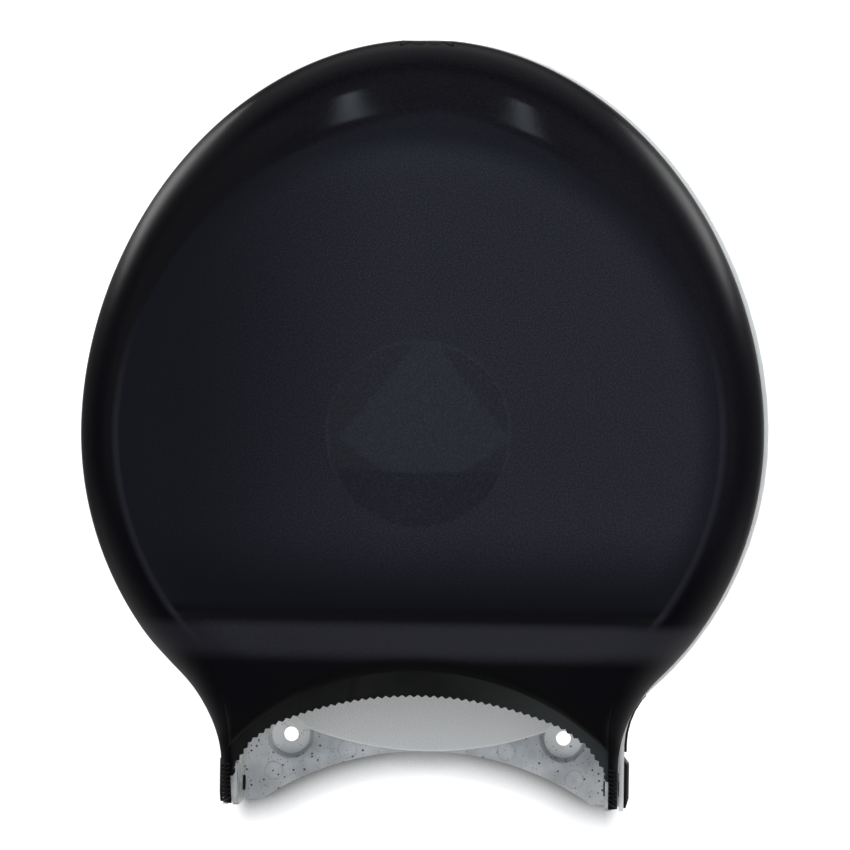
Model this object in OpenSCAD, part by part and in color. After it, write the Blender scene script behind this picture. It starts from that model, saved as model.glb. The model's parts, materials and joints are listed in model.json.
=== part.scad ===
// Round bath tissue dispenser for one nine-inch roll.
// X runs to the viewer's right, the viewer stands at -Y, +Z is up. The wall is the plane Y = 0,
// and the origin is the point of the wall behind the spindle. "Depth" is the distance from the wall.

/* [Cover] */
// Radius of the cover's round body at its rear edge
cover_r = 130.2; // [124:0.1:136]
// How much the cover's side walls draw in from the rear edge to the front
cover_draft = 0.9; // [0:0.1:2.5]
// How far the top of the cover bulges above its round body
top_bulge = 20.5; // [12:0.5:26]
// Half width of the cover across its two legs
leg_x = 75.9; // [74:0.1:80]
// Radius of the waist between round body and leg, at the rear edge and on the tray
rear_waist_r = 30; // [24:1:36]
// Radius of that waist at the front of the side walls
front_waist_r = 50; // [40:1:56]
// Radius of that waist on the face's edge
face_waist_r = 70; // [60:1:74]
// Depth of the flat front face
face_depth = 138; // [130:0.5:150]
// Radius of the flat front face
face_r = 112.3; // [110:0.1:115]
// Depth taken up by the rounded shoulder between side wall and face
shoulder_depth = 36; // [24:1:44]
// Angle of the shoulder's arc where it meets the face, 90 for a smooth meeting
shoulder_end = 82; // [76:1:88]
// Wall thickness of the cover
cover_wall = 2.5; // [1.8:0.1:3]
// Height of the crease below the spindle, where the face starts to lean back
crease_z = -69; // [-76:0.5:-62]
// Angle that the face leans back below the crease
lean = 38; // [30:1:44]
// Radius of the shallow dome in the middle of the face
dome_r = 34.7; // [26:0.1:40]
// Height of the dome above the face
dome_h = 5; // [3:0.5:7]
// Height of the leg's foot
foot_z = -143.4; // [-146:0.1:-142]
// Half width between the front flanges of the two legs
leg_inner_x = 72.3; // [71:0.1:72.9]

/* [Mouth] */
// Radius of the arch that opens the cover's front edge
arch_r = 100; // [92:1:112]
// Height of the top of that arch
arch_z = -89.5; // [-92:0.5:-87]
// Radius of the edge that rolls under along the arch
lip_r = 5; // [3:0.5:6]
// Radius of the arch of teeth
teeth_r = 132; // [124:1:140]
// Height of the top of the arch of teeth
teeth_z = -99; // [-102:0.5:-96]
// Half width at which the arch of teeth turns down towards the legs
teeth_bend_x = 55; // [50:0.5:58]
// Half width at which it turns down more steeply
teeth_knee_x = 64.5; // [60:0.5:68]
// Height at which it turns down more steeply
teeth_knee_z = -118; // [-120:0.5:-116]
// Height at which the teeth meet the legs
teeth_leg_z = -128.5; // [-134:0.5:-126]
// Length of one tooth
tooth_pitch = 3; // [2.4:0.1:4]
// Height of one tooth
tooth_h = 1; // [0.6:0.1:1.3]
// Thickness of the tear bar
bar_t = 2; // [1.6:0.1:2.4]
// How far the tear bar stands behind the front edge, along the depth
bar_setback = 8; // [7.6:0.1:9]
// Width of the tear bar at its crown
bar_width = 21; // [20:0.5:24]
// Radius of the pads that carry the tear bar
pad_r = 2.2; // [1.5:0.1:2.4]

/* [Rear tray] */
// Depth of the tray's rim
rim_depth = 40; // [36:0.5:44]
// Thickness of the tray's side wall
tray_wall = 1.8; // [1.4:0.1:2.4]
// Gap between the cover and the tray's wall around it
seam_gap = 0.5; // [0.4:0.05:0.8]
// How far the cover's rear edge reaches into the tray
seam_lap = 2; // [1:0.1:2.5]
// Thickness of the tray's panels
panel_t = 2.5; // [2:0.1:3]
// Depth of the lower panels' front surface
low_panel = 7; // [6:0.5:9]
// Depth of the raised platform's front surface
platform = 12; // [10:0.5:14]
// Radius of the raised platform's lower edge
platform_r = 135.9; // [134:0.1:138]
// Height of that edge's centre
platform_z = 9.8; // [8:0.1:12]
// Height of the tray's feet
tray_foot_z = -146.4; // [-152:0.1:-145]
// Radius of the arch cut in the tray's lower edge
tray_arch_r = 116; // [110:1:122]
// Height of the top of that arch
tray_arch_z = -126.3; // [-128:0.1:-124]

/* [Wall fixing] */
// Distance between the two columns of wall holes
holes_x = 108; // [96:1:112]
// Distance between the two rows of wall holes
holes_z = 200; // [180:1:210]
// Height of the lower wall holes
lower_hole_z = -120.7; // [-123:0.1:-119]
// Radius of a wall hole
wall_hole_r = 2.9; // [2.2:0.1:3.2]
// Radius of the recess around a wall hole, at its floor
recess_r = 7.9; // [7:0.1:8.6]
// How much wider the recess is at the panel's surface
recess_flare = 1.4; // [0.5:0.1:2]
// Width of the sloped corner between a lower panel and the tray's leg wall
corner_slope = 7; // [4:0.5:8]

/* [Hinge] */
// Depth of the hinge pins
hinge_depth = 28; // [26:0.5:30]
// Height of the hinge pins
hinge_z = -138.5; // [-139:0.1:-137]
// Radius of a hinge pin
pin_r = 3; // [2.5:0.1:3.4]
// Radial clearance between a hinge pin and the cover's ear
pin_play = 0.06; // [0.03:0.01:0.1]
// Thickness of the cover's ears
ear_t = 2.4; // [2:0.1:3]
// Radius of the ear's round end
ear_r = 7; // [6.4:0.1:7.4]
// Thickness of the hinge clip outside the tray
clip_t = 2; // [1.6:0.1:2.8]
// Height of the hinge clip
clip_h = 18.6; // [16:0.1:20]

/* [Spindle] */
// Radius of the spindle post
post_r = 10; // [8:0.5:12]
// Radial clearance between post and hub
hub_play = 0.06; // [0.03:0.01:0.1]
// Radius of the hub that carries the roll's core
hub_r = 37; // [34:0.5:38]
// Length of the hub's round carrying surface
hub_len = 72; // [60:1:76]
// Radius of the hub's rear flange
hub_flange_r = 50; // [44:1:56]
// Wall thickness of the hub
hub_wall = 2.4; // [2:0.1:3]
// Thickness of the drag washer
washer_t = 1.2; // [0.8:0.1:2]

/* [Lock] */
// Half width of the button
button_x = 10; // [8:0.5:11]
// Depth at which the button starts
button_depth = 86; // [82:1:88]
// Mean depth at which the button's scalloped front ends
button_front = 112; // [108:0.5:114]
// Pitch of the button's scallops
scallop_pitch = 6.3; // [5:0.1:8]
// Half height of the scallops
scallop_h = 1.4; // [0.8:0.1:3]
// Gap around the button
button_gap = 0.6; // [0.4:0.1:0.8]
// Half width of the latch arm
arm_x = 6; // [5:0.5:7]
// How far the latch arm's underside lies below the top of the cover
arm_drop = 15; // [14:0.5:16]
// Thickness of the latch arm
arm_t = 4; // [3:0.5:4.5]
// How far the button is pressed
press = 4; // [3.5:0.1:4.5]
// Wire radius of the latch spring
wire_r = 0.6; // [0.5:0.05:0.8]
// Mean radius of the latch spring
coil_r = 3.8; // [3:0.1:4.2]

/* [Hidden] */
$fn = 64;
tiny = 0.01;
// Gap between a piece and what it is seated on
seat_gap = 0.3;

smoke = [0.13, 0.13, 0.15];
speckle = [0.72, 0.74, 0.75];
black = [0.06, 0.06, 0.06];
steel = [0.7, 0.7, 0.72];

// Columns of points along half an outline: on the round body down to the crease, from there to
// the arch's corner, and from there to the foot.
round_steps = 26;
neck_steps = 9;
foot_steps = 3;
bulge_power = 1.45;

// ---- Outlines: a round body, bulged at the top, that flows through a waist into two legs ----

// The face is the inner outline. Its crease ends at this angle.
crease_a = asin(crease_z / face_r);
arch_center_z = arch_z - arch_r;
corner_z = arch_center_z + sqrt(arch_r * arch_r - leg_inner_x * leg_inner_x);

// Height of the waist's centre, and of the point where the round body ends.
function waist_z(r, lx, wr) = -sqrt(pow(r + wr, 2) - pow(lx + wr, 2));
function round_end_z(r, lx, wr) = waist_z(r, lx, wr) * r / (r + wr);

// Half width of an outline at a height below its middle.
function half_width(z, r, lx, wr) =
    z > round_end_z(r, lx, wr) ? sqrt(r * r - z * z)
    : z > waist_z(r, lx, wr) ? lx + wr - sqrt(wr * wr - pow(z - waist_z(r, lx, wr), 2))
    : lx;

function bulged(r, bulge, a) =
    [r * cos(a), r * sin(a) + (a > 0 && a < 180 ? bulge * pow(sin(a), bulge_power) : 0)];

// Height of neck column k. Square to the face's edge at the crease, level at the corner.
function neck_z(k, r) =
    let (share = k / neck_steps)
    crease_z + (corner_z - crease_z) * share + (r * sin(crease_a) - crease_z) * (1 - share);

// The right half of an outline, from the top down to the foot.
function half_outline(r, bulge, lx, wr, foot) = concat(
    [for (k = [0:round_steps]) bulged(r, bulge, 90 - (90 - crease_a) * k / round_steps)],
    [for (k = [1:neck_steps]) [half_width(neck_z(k, r), r, lx, wr), neck_z(k, r)]],
    [for (k = [1:foot_steps])
        let (z = corner_z + (foot - corner_z) * k / foot_steps)
        [half_width(z, r, lx, wr), z]]
);

function reversed(list) = [for (k = [len(list) - 1:-1:0]) list[k]];
function mirrored(list) = [for (p = list) [-p[0], p[1]]];

// The whole outline, from the left foot over the top to the right foot.
function outline(r, bulge, lx, wr, foot) =
    let (half = half_outline(r, bulge, lx, wr, foot))
    concat(reversed(mirrored([for (k = [1:len(half) - 1]) half[k]])), half);

columns = 2 * (round_steps + neck_steps + foot_steps) + 1;

// Draws a flat shape in the plane of the wall and gives it depth.
module slab(from, to) {
    rotate([90, 0, 0])
        translate([0, 0, from])
            linear_extrude(to - from)
                children();
}

// A round bar along the depth.
module rod(r, from, to, x = 0, z = 0) {
    translate([x, -from, z])
        rotate([90, 0, 0])
            cylinder(r = r, h = to - from);
}

// A round bar along X.
module cross_rod(r, from, to, depth, z) {
    translate([from, -depth, z])
        rotate([0, 90, 0])
            cylinder(r = r, h = to - from);
}

// A box given by its lowest and highest x, depth and z.
module block(x, depth, z) {
    translate([x[0], -depth[1], z[0]])
        cube([x[1] - x[0], depth[1] - depth[0], z[1] - z[0]]);
}

// ---- Cover shell: one closed skin of an outer and an inner surface ----

front_r = cover_r - cover_draft;
front_bulge = top_bulge - 0.8;
cover_top = front_r + front_bulge;
arm_z = cover_top - arm_drop;
cover_back = rim_depth - seam_lap;
fold = [0, 30, 60, 90];
arc_steps = 7;
arch_steps = 24;

// Depth of the face at a height, leaning back below the crease.
function face_at(z) = face_depth - max(0, crease_z - z) * tan(lean);

// How much of the edge's roll is present at a height: none at the crease, all of it on the leg.
roll_start_z = -98;
function roll_share(z) = min(1, max(0, (roll_start_z - z) / (roll_start_z - corner_z)));

edge = outline(face_r, 0, leg_inner_x, face_waist_r, foot_z);
function edge_depth(p) = face_at(p[1]) - lip_r * roll_share(p[1]);

// Side wall and shoulder of one surface. inset is 0 outside and the wall thickness inside.
function side_rows(inset) =
    let (
        rear = outline(cover_r - inset, top_bulge, leg_x - inset, rear_waist_r + inset, foot_z),
        front = outline(front_r - inset, front_bulge, leg_x - inset, front_waist_r + inset, foot_z)
    )
    [for (i = [0:columns - 1])
        let (
            p = front[i],
            e = edge[i],
            end = edge_depth(e) - inset,
            run = norm([p[0] - e[0], p[1] - e[1]]) + inset,
            arc = (shoulder_depth - inset) * min(1, run / (front_r - face_r)),
            start = end - arc
        )
        concat(
            [[rear[i][0], -cover_back, rear[i][1]]],
            [for (s = [0:arc_steps])
                let (
                    a = shoulder_end * s / arc_steps,
                    out = (cos(a) - cos(shoulder_end)) / (1 - cos(shoulder_end)),
                    q = e + (p - e) * out
                )
                [q[0], -(start + arc * sin(a) / sin(shoulder_end)), q[1]]]
        )
    ];

// The front plate's border: the face's edge from corner to corner, then back along the arch.
leg_below = foot_steps;
rim_border = [for (i = [leg_below:columns - 1 - leg_below]) edge[i]];
arch_a = asin(leg_inner_x / arch_r);
arch_border = [for (k = [1:arch_steps - 1])
    let (a = arch_a * (1 - 2 * k / arch_steps))
    [arch_r * sin(a), arch_center_z + arch_r * cos(a)]];
border = concat(rim_border, arch_border);

function dome_at(r) =
    let (ball = (dome_r * dome_r + dome_h * dome_h) / (2 * dome_h))
    r >= dome_r ? 0 : sqrt(ball * ball - r * r) - (ball - dome_h);

// Rows of the front plate at one border point, from the edge to the dome's innermost ring.
function plate_rows(k, inset) =
    let (
        p = border[k],
        far = norm(p),
        to_middle = -p / far,
        roll = k < len(rim_border) ? roll_share(p[1]) : 1,
        c = p + to_middle * lip_r,
        bend = c[1] < crease_z - 1
            ? p * (crease_z / p[1])
            : p + to_middle * (lip_r + 2)
    )
    concat(
        [for (a = fold)
            let (q = p + to_middle * lip_r * (1 - cos(a)))
            [q[0], -(face_at(q[1]) - lip_r * roll * (1 - sin(a)) - inset), q[1]]],
        [[bend[0], -(face_depth - inset), bend[1]]],
        [for (share = [1, 0.8, 0.55, 0.28])
            let (q = p / far * dome_r * share)
            [q[0], -(face_depth + dome_at(norm(q)) - inset), q[1]]]
    );

// Faces of a grid of rows and columns of points, wound the other way if flip is set.
function grid_faces(cols, rows, start, closed, flip) =
    [for (i = [0:cols - (closed ? 1 : 2)], j = [0:rows - 2], half = [0, 1])
        let (
            n = (i + 1) % cols,
            a = start + i * rows + j,
            b = start + n * rows + j,
            t = half == 0 ? [a, b, b + 1] : [a, b + 1, a + 1]
        )
        flip ? [t[2], t[1], t[0]] : t];

// A strip of triangles between two equally long lists of point numbers.
function strip(p, q) =
    [for (i = [0:len(p) - 2], half = [0, 1])
        half == 0 ? [p[i], q[i], q[i + 1]] : [p[i], q[i + 1], p[i + 1]]];

function flat(lists) = [for (l = lists, p = l) p];

module cover_skin() {
    side_n = arc_steps + 2;
    plate_n = len(fold) + 5;
    out_side = flat(side_rows(0));
    in_side = flat(side_rows(cover_wall));
    out_plate = flat([for (k = [0:len(border) - 1]) plate_rows(k, 0)]);
    in_plate = flat([for (k = [0:len(border) - 1]) plate_rows(k, cover_wall)]);
    s0 = 0;
    s1 = len(out_side);
    p0 = s1 + len(in_side);
    p1 = p0 + len(out_plate);
    mid = p1 + len(in_plate);
    points = concat(out_side, in_side, out_plate, in_plate, [
        [0, -(face_depth + dome_h), 0],
        [0, -(face_depth + dome_h - cover_wall), 0]
    ]);
    last = columns - 1;
    n = len(border);
    // number of the innermost point of border column k
    function ring_end(start, k) = start + k * plate_n + plate_n - 1;
    tip_rows = [for (j = [0:side_n - 1]) j];
    arch_run = concat([for (k = [len(rim_border) - 1:n - 1]) k], [0]);
    faces = concat(
        grid_faces(columns, side_n, s0, false, false),
        grid_faces(columns, side_n, s1, false, true),
        grid_faces(n, plate_n, p0, true, false),
        grid_faces(n, plate_n, p1, true, true),
        [for (k = [0:n - 1]) [ring_end(p0, k), ring_end(p0, (k + 1) % n), mid]],
        [for (k = [0:n - 1]) [ring_end(p1, (k + 1) % n), ring_end(p1, k), mid + 1]],
        // the rear edge
        strip([for (i = [0:last]) s0 + i * side_n], [for (i = [0:last]) s1 + i * side_n]),
        // the feet
        strip([for (j = tip_rows) s1 + j], [for (j = tip_rows) s0 + j]),
        strip([for (j = tip_rows) s0 + last * side_n + j], [for (j = tip_rows) s1 + last * side_n + j]),
        // the front edges of the legs below the arch's corners
        strip([for (i = [0:leg_below]) s1 + i * side_n + side_n - 1],
            [for (i = [0:leg_below]) s0 + i * side_n + side_n - 1]),
        strip([for (i = [last - leg_below:last]) s1 + i * side_n + side_n - 1],
            [for (i = [last - leg_below:last]) s0 + i * side_n + side_n - 1]),
        // the arch's edge
        strip([for (k = arch_run) p0 + k * plate_n], [for (k = arch_run) p1 + k * plate_n])
    );
    polyhedron(points = points, faces = faces, convexity = 6);
}

module cover_shell() {
    color(smoke)
        difference() {
            cover_skin();
            button_prism(button_gap, arm_z);
        }
}

// ---- Tear bar: lies behind the leaning face, parallel to it ----

bar_foot_z = teeth_leg_z - 4;
bar_leg_x = leg_inner_x - 0.8;
bar_outer_x = leg_inner_x + 0.2;
pad_xs = [-44, -15, 15, 44];
pad_gap = 0.05;
pad_len = (bar_setback - cover_wall) * cos(lean) - pad_gap;

// An arch that turns down over a knee on each side into two legs, as [x, z] points.
function arch_line(r, top, bend_x, knee, lx, leg_z, foot, steps) =
    let (
        cz = top - r,
        a1 = asin(bend_x / r)
    )
    concat(
        [[-lx, foot], [-lx, leg_z], [-knee[0], knee[1]]],
        [for (k = [0:steps])
            let (a = -a1 + 2 * a1 * k / steps)
            [r * sin(a), cz + r * cos(a)]],
        [knee, [lx, leg_z], [lx, foot]]
    );

// Lengths along a line of points, and the point and outward direction at a length.
function lengths(p, i = 0, sum = 0) =
    i >= len(p) - 1 ? [sum] : concat([sum], lengths(p, i + 1, sum + norm(p[i + 1] - p[i])));

teeth_line = arch_line(teeth_r, teeth_z, teeth_bend_x, [teeth_knee_x, teeth_knee_z], bar_leg_x,
    teeth_leg_z, bar_foot_z, 16);
teeth_len = lengths(teeth_line);
teeth_n = floor(teeth_len[len(teeth_len) - 1] / tooth_pitch);

// A point of the toothed edge: half steps alternate between root and tip.
function toothed(k) =
    let (
        total = teeth_len[len(teeth_len) - 1],
        s = total * k / (2 * teeth_n),
        i = min(len(teeth_line) - 2, max([for (m = [0:len(teeth_len) - 1]) teeth_len[m] <= s ? m : 0])),
        a = teeth_line[i],
        d = (teeth_line[i + 1] - a) / norm(teeth_line[i + 1] - a),
        inward = [d[1], -d[0]]
    )
    a + d * (s - teeth_len[i]) + inward * (k % 2 == 1 ? tooth_h : 0);

// Turns heights in the front view into lengths down the lean.
function leaned(points) = [for (p = points) [p[0], (p[1] - arch_z) / cos(lean)]];

module in_lean(behind) {
    translate([0, -(face_at(arch_z) - behind), arch_z])
        rotate([90 + lean, 0, 0])
            children();
}

// Height of a pad's foot on the bar, so that its end is clear of the lip along the arch.
function pad_z(x) =
    arch_center_z + sqrt(arch_r * arch_r - x * x) + lip_r
    + pad_r * cos(lean) + pad_len * sin(lean) + 0.4;

module tear_bar() {
    leg_width = bar_width / 2;
    outer = arch_line(teeth_r + bar_width, teeth_z + bar_width, teeth_bend_x,
        [teeth_knee_x + 2, teeth_knee_z + leg_width], bar_outer_x,
        teeth_leg_z + leg_width, bar_foot_z, 16);
    color(black)
        union() {
            in_lean(bar_setback)
                translate([0, 0, -bar_t])
                    linear_extrude(bar_t)
                        polygon(concat(
                            leaned([for (k = [0:2 * teeth_n]) toothed(k)]),
                            leaned(reversed(outer))
                        ));
            // pads that meet the inside of the leaning face
            in_lean(bar_setback)
                for (x = pad_xs)
                    translate([x, (pad_z(x) - arch_z) / cos(lean), -tiny])
                        cylinder(r = pad_r, h = pad_len + tiny);
        }
}

// ---- Rear tray ----

tray_in_r = cover_r + seam_gap;
tray_in_x = leg_x + seam_gap;
tray_out_r = tray_in_r + tray_wall;
tray_out_x = tray_in_x + tray_wall;
upper_hole_z = lower_hole_z + holes_z;
hole_xs = [-holes_x / 2, holes_x / 2];
post_flange_r = 24;
boss_r = post_flange_r + 2;
// Middle of the tray's leg wall, and how far a cut for the pin reaches to either side of it
pin_mid = (tray_in_x + tray_out_x) / 2;
pin_reach = tray_wall + 1.2;

module tray_outer() {
    polygon(outline(tray_out_r, top_bulge, tray_out_x, rear_waist_r, tray_foot_z));
}

module tray_inner(foot = tray_foot_z - 1) {
    polygon(outline(tray_in_r, top_bulge, tray_in_x, rear_waist_r, foot));
}

module tray_arch(grow = 0) {
    translate([0, tray_arch_z - tray_arch_r])
        circle(r = tray_arch_r + grow, $fn = 180);
}

module platform_disc(shrink = 0) {
    translate([0, platform_z])
        circle(r = platform_r - shrink, $fn = 180);
}

module rear_base() {
    color(speckle)
        difference() {
            union() {
                // side wall
                slab(0, rim_depth)
                    difference() {
                        tray_outer();
                        tray_inner();
                    }
                // lower panels, with a skirt along the arch down to the wall
                slab(0, low_panel)
                    intersection() {
                        tray_outer();
                        difference() {
                            square([400, 400], center = true);
                            tray_arch();
                            platform_disc(panel_t);
                        }
                    }
                // sloped corners between the panels and the leg walls
                for (side = [-1, 1])
                    sided(side)
                        leg_corner();
                // raised platform
                slab(0, platform)
                    intersection() {
                        tray_outer();
                        difference() {
                            platform_disc();
                            tray_arch();
                        }
                    }
            }
            // the tray is hollow towards the wall
            hollow_back();
            // the arch
            slab(-1, rim_depth + 1)
                tray_arch();
            // recesses and wall holes
            for (x = hole_xs)
                translate([x, -panel_t, lower_hole_z])
                    rotate([90, 0, 0])
                        cylinder(r1 = recess_r, r2 = recess_r + recess_flare, h = low_panel - panel_t);
            for (x = hole_xs)
                rod(recess_r, panel_t, platform + 1, x, upper_hole_z);
            for (x = hole_xs, z = [lower_hole_z, upper_hole_z])
                rod(wall_hole_r, -1, platform + 1, x, z);
            // screw holes of the post and the striker, and the hinge pins' holes
            for (a = post_angles)
                rod(post_screw_r, -1, platform + 1, post_screw_ring * cos(a), post_screw_ring * sin(a));
            for (x = striker_xs)
                rod(post_screw_r, -1, platform + 1, x, striker_foot_z);
            for (side = [-1, 1])
                cross_rod(pin_r, side * pin_mid - pin_reach, side * pin_mid + pin_reach,
                    hinge_depth, hinge_z);
        }
}

// A sloped corner, cut off where the platform and the round body begin.
module leg_corner() {
    x0 = tray_in_x - corner_slope;
    intersection() {
        translate([0, 0, tray_foot_z])
            linear_extrude(platform_z - platform_r * cos(asin(x0 / platform_r)) - tray_foot_z)
                polygon([
                    [x0, -low_panel + tiny],
                    [x0, -low_panel],
                    [x0 + 0.4 * corner_slope, -low_panel - 1.2],
                    [x0 + 0.75 * corner_slope, -low_panel - 4],
                    [x0 + corner_slope, -low_panel - 8],
                    [x0 + corner_slope + tiny, -low_panel + tiny]
                ]);
        slab(0, rim_depth)
            tray_outer();
    }
}

// The space behind the panels, left out where bosses, walls and wall fixings need solid plastic.
module hollow_back() {
    slab(-1, platform - panel_t)
        difference() {
            intersection() {
                tray_inner();
                platform_disc(panel_t);
            }
            tray_arch(panel_t);
            circle(r = boss_r);
            for (x = hole_xs)
                translate([x, upper_hole_z])
                    circle(r = recess_r + panel_t);
            translate([0, striker_foot_z])
                square([2 * striker_foot[0] + 2, 2 * striker_foot[1] + 2], center = true);
        }
    slab(-1, low_panel - panel_t)
        difference() {
            tray_inner(tray_foot_z + panel_t);
            platform_disc();
            tray_arch(panel_t);
            for (x = hole_xs)
                translate([x, lower_hole_z])
                    circle(r = recess_r + recess_flare + panel_t);
        }
}

// ---- Hinge: ears on the cover turn on stubs of the clips outside the tray ----

ear_in_x = leg_x - cover_wall - ear_t;
// Depths in front of the pin at which the ear's plate begins to widen, is widest, and ends
ear_reach = [24, 28, 38];
ear_rise = 3;
ear_screw_at = [
    [hinge_depth + 20, hinge_z - 1],
    [hinge_depth + 32, hinge_z + 5.5]
];
ear_screw_r = 1.5;
ear_screw_len = ear_t + cover_wall * 0.7;
// The screws' heads are sunk in the ear, flush with its inner face
ear_head_r = 2.7;
ear_head_t = ear_t / 2;
ear_head_play = 0.15;

// Everything on the hinge is drawn for the right side and mirrored for the left.
module sided(side) {
    mirror([side < 0 ? 1 : 0, 0, 0])
        children();
}

module cover_ear(side) {
    outer_x = ear_in_x + ear_t;
    color(speckle)
        sided(side)
            difference() {
                union() {
                    rotate([90, 0, 90])
                        translate([0, 0, ear_in_x])
                            linear_extrude(ear_t)
                                ear_plate();
                    cross_rod(ear_r, ear_in_x, ear_in_x + ear_t, hinge_depth, hinge_z);
                    // boss that fills the space beside the tray's wall
                    cross_rod(ear_r - 1, outer_x - tiny, tray_in_x - 0.25, hinge_depth, hinge_z);
                }
                cross_rod(pin_r + pin_play, ear_in_x - 1, tray_in_x + 1, hinge_depth, hinge_z);
                for (p = ear_screw_at) {
                    cross_rod(ear_screw_r, ear_in_x - 1, outer_x + 1, p[0], p[1]);
                    cross_rod(ear_head_r + ear_head_play, ear_in_x - 1, ear_in_x + ear_head_t, p[0], p[1]);
                }
            }
}

// The ear's plate, seen from the side, with depth to the left.
module ear_plate() {
    polygon([
        [-hinge_depth, hinge_z - ear_r],
        [-hinge_depth, hinge_z + ear_r],
        [-hinge_depth - ear_reach[1], hinge_z + ear_r + ear_rise],
        [-hinge_depth - ear_reach[2], hinge_z + ear_r + ear_rise],
        [-hinge_depth - ear_reach[2], hinge_z - ear_r + ear_rise + 1],
        [-hinge_depth - ear_reach[0], hinge_z - ear_r]
    ]);
}

module ear_screws() {
    color(steel)
        for (side = [-1, 1], p = ear_screw_at)
            sided(side)
                union() {
                    cross_rod(ear_head_r, ear_in_x, ear_in_x + ear_head_t, p[0], p[1]);
                    cross_rod(ear_screw_r, ear_in_x + ear_head_t - tiny, ear_in_x + ear_screw_len,
                        p[0], p[1]);
                }
}

// How far the clip's middle lies above its pin
clip_rise = 2.6;
clip_back = 14;
// Bevels at the clip's upper and lower corners
clip_bevel = [2.6, 3.2];
// Depth over which the clip keeps its whole thickness
clip_full = 16;

module hinge_clip(side) {
    top = hinge_z + clip_h / 2 + clip_rise;
    bottom = top - clip_h;
    outer_x = tray_out_x + clip_t;
    front_x = tray_out_x + clip_t / 2;
    color(black)
        sided(side)
            union() {
                // block outside the leg, thinner towards the front
                intersection() {
                    rotate([90, 0, 0])
                        translate([0, 0, clip_back])
                            linear_extrude(rim_depth - clip_back)
                                polygon([
                                    [tray_out_x, bottom],
                                    [tray_out_x + 0.4 * clip_t, bottom],
                                    [outer_x, bottom + clip_bevel[1]],
                                    [outer_x, top - clip_bevel[0]],
                                    [tray_out_x, top]
                                ]);
                    translate([0, 0, bottom])
                        linear_extrude(clip_h)
                            polygon([
                                [tray_out_x, -clip_back],
                                [outer_x, -clip_back],
                                [outer_x, -clip_back - clip_full],
                                [front_x, -rim_depth],
                                [tray_out_x, -rim_depth]
                            ]);
                }
                cross_rod(pin_r, ear_in_x - 0.8, tray_out_x + tiny, hinge_depth, hinge_z);
            }
}

// Thin strip outside the tray's waist that grows thicker downwards.
strip_z = [
    waist_z(tray_out_r, tray_out_x, rear_waist_r) - 2.3,
    round_end_z(tray_out_r, tray_out_x, rear_waist_r) - 2.6
];
strip_t = [0.4, 1];

module edge_strip(side) {
    strip_r = tray_out_r + strip_t[0];
    strip_x = tray_out_x + strip_t[1];
    color(black)
        sided(side)
            slab(8, rim_depth - 4)
                intersection() {
                    difference() {
                        polygon(outline(strip_r, top_bulge, strip_x, rear_waist_r, tray_foot_z));
                        tray_outer();
                    }
                    translate([tray_out_x - 10, strip_z[0]])
                        square([30, strip_z[1] - strip_z[0]]);
                }
}

// ---- Lock: a button in the cover's top, an arm with a hook, and a striker on the tray ----

// The cover's section over the top, as [x, z] against depth, lowered by drop.
function top_section(drop) =
    let (
        start = face_depth - shoulder_depth
    )
    [for (s = [0:6])
        let (
            a = shoulder_end * s / 12,
            out = (cos(a) - cos(shoulder_end)) / (1 - cos(shoulder_end))
        )
        [start + shoulder_depth * sin(a) / sin(shoulder_end),
            face_r + (cover_top - face_r) * out - drop]];

// Plan of the button: straight sides and a scalloped front edge, in x and depth.
module button_plan(gap) {
    half = button_x + gap;
    steps = 40;
    polygon(concat(
        [[half, -(button_depth - gap)], [-half, -(button_depth - gap)]],
        [for (k = [0:steps])
            let (x = -half + 2 * half * k / steps)
            [x, -(button_front + gap - scallop_h * cos(360 * x / scallop_pitch))]]
    ));
}

module button_prism(gap, from) {
    translate([0, 0, from])
        linear_extrude(30)
            button_plan(gap);
}

module lock_button() {
    section = top_section(0.4);
    color(black)
        intersection() {
            button_prism(0, arm_z + arm_t);
            rotate([90, 0, 90])
                translate([0, 0, -button_x])
                    linear_extrude(2 * button_x)
                        polygon(concat(
                            [[-60, arm_z + arm_t], [-60, section[0][1] + 0.7]],
                            [for (p = section) [-p[0], p[1]]],
                            [[-(section[6][0]), arm_z + arm_t]]
                        ));
        }
}

tooth_depth = [26, 31];
lip_depth = [33, 36];
lip_z = arm_z + arm_t + press - 1;

module latch_arm() {
    color(black)
        union() {
            block([-arm_x, arm_x], [tooth_depth[0], button_front - 6], [arm_z, arm_z + arm_t]);
            block([-arm_x, arm_x], tooth_depth, [arm_z + arm_t - tiny, lip_z + 2]);
        }
}

// Middle and both ends of the carrier along the depth, behind the button
carrier_mid = button_depth - 16;
carrier_depth = [carrier_mid - 10, carrier_mid + 10];
// Height left for the spring below the arm
spring_room = 12;
carrier_floor = arm_z - spring_room;
carrier_wing = 14;
carrier_cheek = arm_x + 3.4;
// The screws' heads lie beside the carrier's cheeks.
carrier_head_r = ear_screw_r + 0.7;
carrier_screw_x = carrier_cheek + carrier_head_r + 0.1;
// The carrier's wings lie just below the inside of the cover, where it is lowest over them.
front_in_r = front_r - cover_wall;
carrier_top = bulged(front_in_r, front_bulge, acos(carrier_wing / front_in_r))[1] - seat_gap;

module latch_carrier() {
    cheek = arm_x + 0.4;
    past = [carrier_depth[0] - 1, carrier_depth[1] + 1];
    color(black)
        difference() {
            union() {
                block([-carrier_cheek, carrier_cheek], carrier_depth,
                    [carrier_floor - 3, carrier_top - 1]);
                block([-carrier_wing, carrier_wing], carrier_depth, [carrier_top - 3, carrier_top]);
            }
            block([-cheek, cheek], past, [carrier_floor, carrier_top - 3]);
            for (x = [-carrier_screw_x, carrier_screw_x])
                translate([x, -carrier_mid, carrier_top - 4])
                    cylinder(r = ear_screw_r, h = 5);
        }
}

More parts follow.
